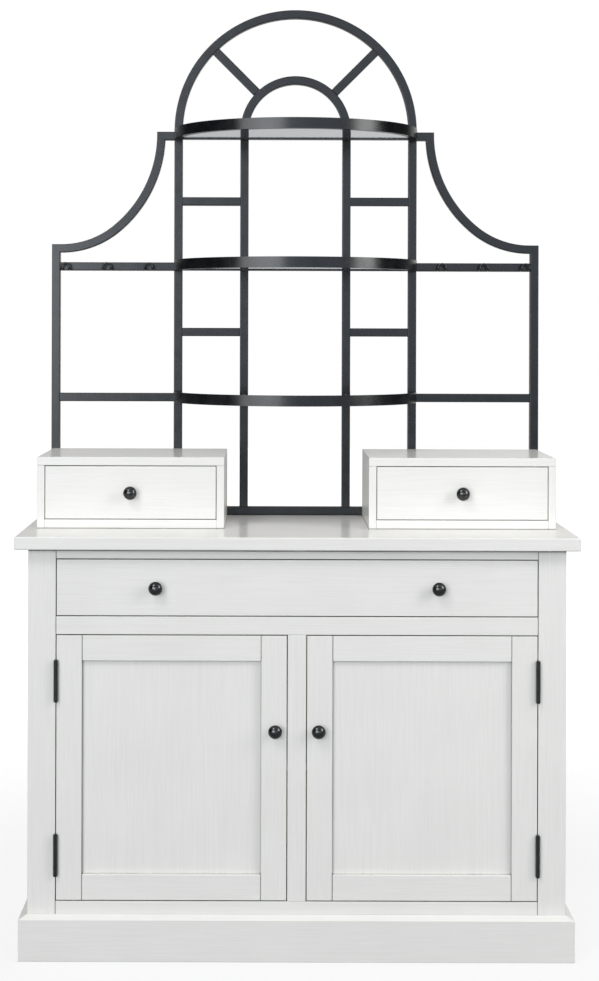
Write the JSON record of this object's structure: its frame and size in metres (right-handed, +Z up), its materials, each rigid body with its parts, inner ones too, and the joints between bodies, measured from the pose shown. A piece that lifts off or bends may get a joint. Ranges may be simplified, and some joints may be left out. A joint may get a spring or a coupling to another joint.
{
  "type": "bakers rack",
  "caption": "Free-standing bakers rack: painted wood cabinet with doors and drawers, small drawer boxes on its worktop, and an arched steel hutch with bow-fronted glass shelves.",
  "frame": {"origin": "on the floor, under the middle of the worktop", "axes": "+X to the right seen from the front, +Y to the back, +Z up"},
  "size_m": [1.219, 0.457, 2.1334],
  "materials": {
    "painted_wood": "brushed antique white lacquer with dark glaze",
    "bare_wood": "clear sealed, unpainted",
    "black_steel": "satin black powder coat",
    "dark_bronze": "oil-rubbed dark bronze",
    "clear_glass": "clear float glass, polished edges",
    "zinc_steel": "zinc plated",
    "nylon": "moulded nylon"
  },
  "bodies": {
    "rack": {"worktop": "painted_wood", "front_legs": "painted_wood", "rear_legs": "painted_wood", "face_frame": "painted_wood", "side_rails": "painted_wood", "side_panels": "painted_wood", "rear_rails": "painted_wood", "cabinet_floor": "painted_wood", "divider": "painted_wood", "cupboard_shelves": "painted_wood", "plinth": "painted_wood", "box_lids": "painted_wood", "box_cases": "painted_wood", "back_panel": "bare_wood", "runner_cleats": "bare_wood", "drawer_runners": "bare_wood", "floor_glides": "nylon", "rail_inserts": "nylon", "shelf_pins": "zinc_steel", "hutch_screws": "zinc_steel", "frame_leaves": "dark_bronze", "hinge_pins": "dark_bronze", "wing_bolts": "dark_bronze", "shelf_bolts": "dark_bronze", "door_catches": "dark_bronze", "outer_posts": "black_steel", "inner_posts": "black_steel", "hutch_arch": "black_steel", "inner_arch": "black_steel", "arch_spokes": "black_steel", "centre_sill": "black_steel", "rungs": "black_steel", "side_posts": "black_steel", "left_scroll": "black_steel", "right_scroll": "black_steel", "wing_rails": "black_steel", "hooks": "black_steel", "lower_shelf_frame": "black_steel", "middle_shelf_frame": "black_steel", "upper_shelf_frame": "black_steel", "glass_panels": "clear_glass"},
    "wide_drawer": {"wide_drawer_front": "painted_wood", "wide_drawer_box": "bare_wood", "wide_drawer_knobs": "dark_bronze"},
    "left_drawer": {"left_drawer_front": "painted_wood", "left_drawer_box": "bare_wood", "left_drawer_knob": "dark_bronze"},
    "right_drawer": {"right_drawer_front": "painted_wood", "right_drawer_box": "bare_wood", "right_drawer_knob": "dark_bronze"},
    "left_door": {"left_door_frame": "painted_wood", "left_door_panel": "painted_wood", "left_door_knob": "dark_bronze", "left_door_leaves": "dark_bronze", "left_door_strike": "zinc_steel"},
    "right_door": {"right_door_frame": "painted_wood", "right_door_panel": "painted_wood", "right_door_knob": "dark_bronze", "right_door_leaves": "dark_bronze", "right_door_strike": "zinc_steel"}
  },
  "joints": [
    {"name": "wide_drawer_slide", "type": "slide", "parent": "rack", "child": "wide_drawer", "axis": [0, -1, 0], "range_m": [0, 0.3]},
    {"name": "left_drawer_slide", "type": "slide", "parent": "rack", "child": "left_drawer", "axis": [0, -1, 0], "range_m": [0, 0.17]},
    {"name": "right_drawer_slide", "type": "slide", "parent": "rack", "child": "right_drawer", "axis": [0, -1, 0], "range_m": [0, 0.17]},
    {"name": "left_door_hinge", "type": "hinge", "parent": "rack", "child": "left_door", "pos_m": [-0.5215, -0.2078, 0.4145], "axis": [0, 0, -1], "range_deg": [0, 170]},
    {"name": "right_door_hinge", "type": "hinge", "parent": "rack", "child": "right_door", "pos_m": [0.5215, -0.2078, 0.4145], "axis": [0, 0, 1], "range_deg": [0, 170]}
  ]
}
